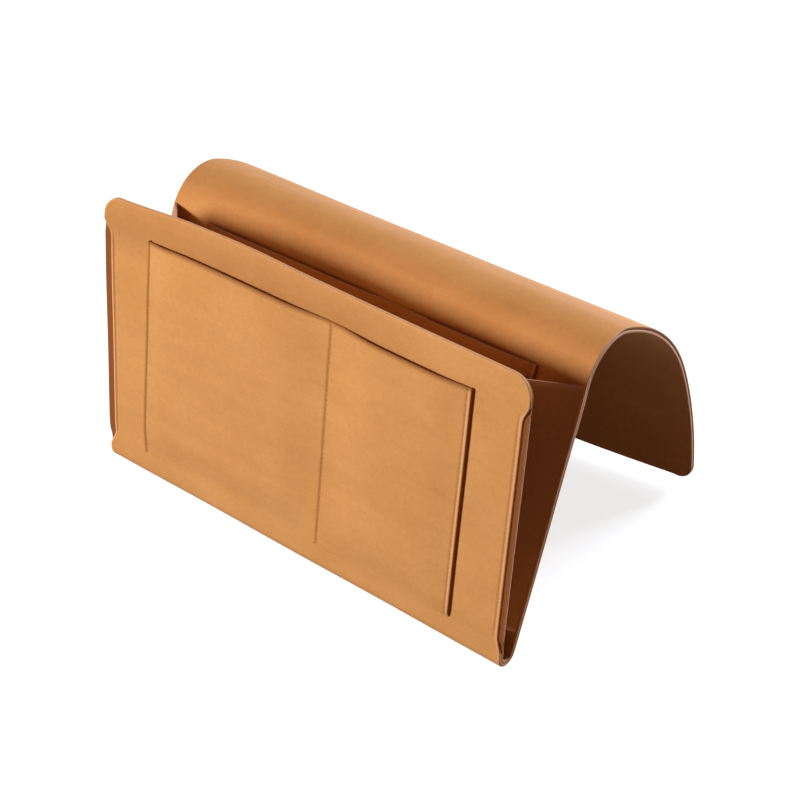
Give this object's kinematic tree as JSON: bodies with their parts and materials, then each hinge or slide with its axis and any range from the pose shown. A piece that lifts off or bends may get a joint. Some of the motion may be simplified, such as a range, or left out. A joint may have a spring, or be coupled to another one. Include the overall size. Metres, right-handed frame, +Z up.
{
  "type": "armrest organizer",
  "caption": "Saddle caddy in smooth tan leather: a stiffened sheet hangs over a sofa's arm and folds up into a gusseted pocket with flat pockets sewn to it.",
  "frame": {"origin": "crown of the saddle's underside, in the middle of the width, where the sofa's arm carries the caddy", "axes": "+Z up, +X along the width to the right as the front panel is looked at, +Y from the front panel to the back flap"},
  "size_m": [0.33, 0.2294, 0.207],
  "materials": {
    "skin_leather": "satin",
    "lining_leather": "satin",
    "greyboard": "matte"
  },
  "bodies": {
    "wall": {"wall_skin": "skin_leather", "wall_board": "greyboard", "wall_lining": "lining_leather", "inner_pocket": "lining_leather", "fold_skin": "skin_leather", "fold_lining": "lining_leather", "gusset_left": "lining_leather", "gusset_right": "lining_leather", "saddle_skin": "skin_leather", "saddle_lining": "lining_leather", "flex_skin": "skin_leather", "flex_lining": "lining_leather"},
    "front_panel": {"front_skin": "skin_leather", "front_board": "greyboard", "front_lining": "lining_leather", "front_pocket": "skin_leather"},
    "flap": {"flap_skin": "skin_leather", "flap_board": "greyboard", "flap_lining": "lining_leather"}
  },
  "joints": [
    {"name": "front_panel_fold", "type": "hinge", "parent": "wall", "child": "front_panel", "pos_m": [0, -0.10023, -0.17677], "axis": [1, 0, 0], "range_deg": [-15, 7], "stiffness_Nm_per_rad": 1.2, "deforming": ["fold_skin", "fold_lining", "gusset_left", "gusset_right"]},
    {"name": "back_flap_flex", "type": "hinge", "parent": "wall", "child": "flap", "pos_m": [0, 0.05633, -0.02937], "axis": [1, 0, 0], "range_deg": [-30, 40], "stiffness_Nm_per_rad": 1.5, "springref_deg": 1.89, "deforming": ["flex_skin", "flex_lining"]}
  ]
}
